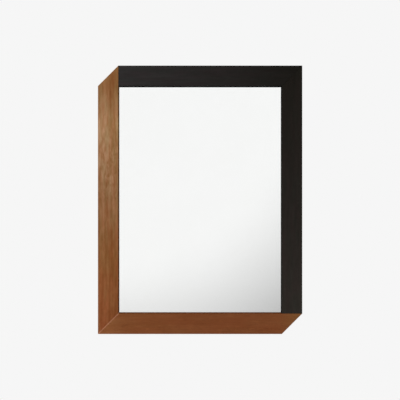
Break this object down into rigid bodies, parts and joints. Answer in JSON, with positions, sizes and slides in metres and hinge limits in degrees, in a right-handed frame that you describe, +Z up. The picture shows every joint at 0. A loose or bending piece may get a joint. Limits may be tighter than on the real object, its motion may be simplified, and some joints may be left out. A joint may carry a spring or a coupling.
{
  "type": "wall mirror",
  "caption": "Wall mirror in a brown and black hardwood frame with slanted corners that reads as a box in oblique view, backed by a buttoned panel and hung on hinged D rings.",
  "frame": {"origin": "on the wall plane, where the bumpers touch the wall, behind the middle of the frame", "axes": "+Z up along the stiles, +X to the right as seen from the front, +Y into the wall, so the mirror faces -Y"},
  "size_m": [0.5, 0.03, 0.657],
  "materials": {
    "brown_wood": "oiled satin, straight streaky grain along each member",
    "black_wood": "black satin lacquer over faintly open grain",
    "beech": "raw, compressed",
    "clear_glass": "polished float glass with seamed edges",
    "silvering": "silver coat, grey paint behind",
    "edge_rubber": "matt",
    "greyboard": "grey packing board",
    "hardboard": "pressed fibre, unpainted",
    "screw_steel": "bright zinc plate",
    "button_steel": "stamped, zinc plated",
    "hanger_steel": "nickel plated",
    "bumper_rubber": "matt moulded"
  },
  "bodies": {
    "frame": {"left_stile": "brown_wood", "bottom_rail": "brown_wood", "top_rail": "black_wood", "right_stile": "black_wood", "bottom_left_biscuit": "beech", "top_right_biscuit": "beech", "top_left_dowels": "beech", "bottom_right_dowels": "beech", "mirror_glass": "clear_glass", "mirror_silvering": "silvering", "glass_edge_pads": "edge_rubber", "packing_card": "greyboard", "back_panel": "hardboard", "turn_button_screws": "screw_steel", "hanger_strap_left": "hanger_steel", "hanger_strap_right": "hanger_steel", "hanger_screws": "screw_steel", "wall_bumpers": "bumper_rubber"},
    "turn_button_left_lower": {"turn_button_left_lower": "button_steel"},
    "turn_button_left_upper": {"turn_button_left_upper": "button_steel"},
    "turn_button_right_lower": {"turn_button_right_lower": "button_steel"},
    "turn_button_right_upper": {"turn_button_right_upper": "button_steel"},
    "turn_button_top_left": {"turn_button_top_left": "button_steel"},
    "turn_button_top_right": {"turn_button_top_right": "button_steel"},
    "turn_button_bottom_left": {"turn_button_bottom_left": "button_steel"},
    "turn_button_bottom_right": {"turn_button_bottom_right": "button_steel"},
    "hanger_ring_left": {"hanger_ring_left": "hanger_steel"},
    "hanger_ring_right": {"hanger_ring_right": "hanger_steel"}
  },
  "joints": [
    {"name": "turn_button_left_lower_turn", "type": "hinge", "parent": "frame", "child": "turn_button_left_lower", "pos_m": [-0.218, -0.006, -0.1985], "axis": [0, 1, 0], "continuous": true},
    {"name": "turn_button_left_upper_turn", "type": "hinge", "parent": "frame", "child": "turn_button_left_upper", "pos_m": [-0.218, -0.006, 0.1985], "axis": [0, 1, 0], "continuous": true},
    {"name": "turn_button_right_lower_turn", "type": "hinge", "parent": "frame", "child": "turn_button_right_lower", "pos_m": [0.218, -0.006, -0.1985], "axis": [0, 1, 0], "continuous": true},
    {"name": "turn_button_right_upper_turn", "type": "hinge", "parent": "frame", "child": "turn_button_right_upper", "pos_m": [0.218, -0.006, 0.1985], "axis": [0, 1, 0], "continuous": true},
    {"name": "turn_button_top_left_turn", "type": "hinge", "parent": "frame", "child": "turn_button_top_left", "pos_m": [-0.12, -0.006, 0.2965], "axis": [0, 1, 0], "continuous": true},
    {"name": "turn_button_top_right_turn", "type": "hinge", "parent": "frame", "child": "turn_button_top_right", "pos_m": [0.12, -0.006, 0.2965], "axis": [0, 1, 0], "continuous": true},
    {"name": "turn_button_bottom_left_turn", "type": "hinge", "parent": "frame", "child": "turn_button_bottom_left", "pos_m": [-0.12, -0.006, -0.2965], "axis": [0, 1, 0], "continuous": true},
    {"name": "turn_button_bottom_right_turn", "type": "hinge", "parent": "frame", "child": "turn_button_bottom_right", "pos_m": [0.12, -0.006, -0.2965], "axis": [0, 1, 0], "continuous": true},
    {"name": "hanger_ring_left_swing", "type": "hinge", "parent": "frame", "child": "hanger_ring_left", "pos_m": [-0.23, -0.0032, 0.1385], "axis": [1, 0, 0], "range_deg": [0, 180]},
    {"name": "hanger_ring_right_swing", "type": "hinge", "parent": "frame", "child": "hanger_ring_right", "pos_m": [0.23, -0.0032, 0.1385], "axis": [1, 0, 0], "range_deg": [0, 180]}
  ]
}
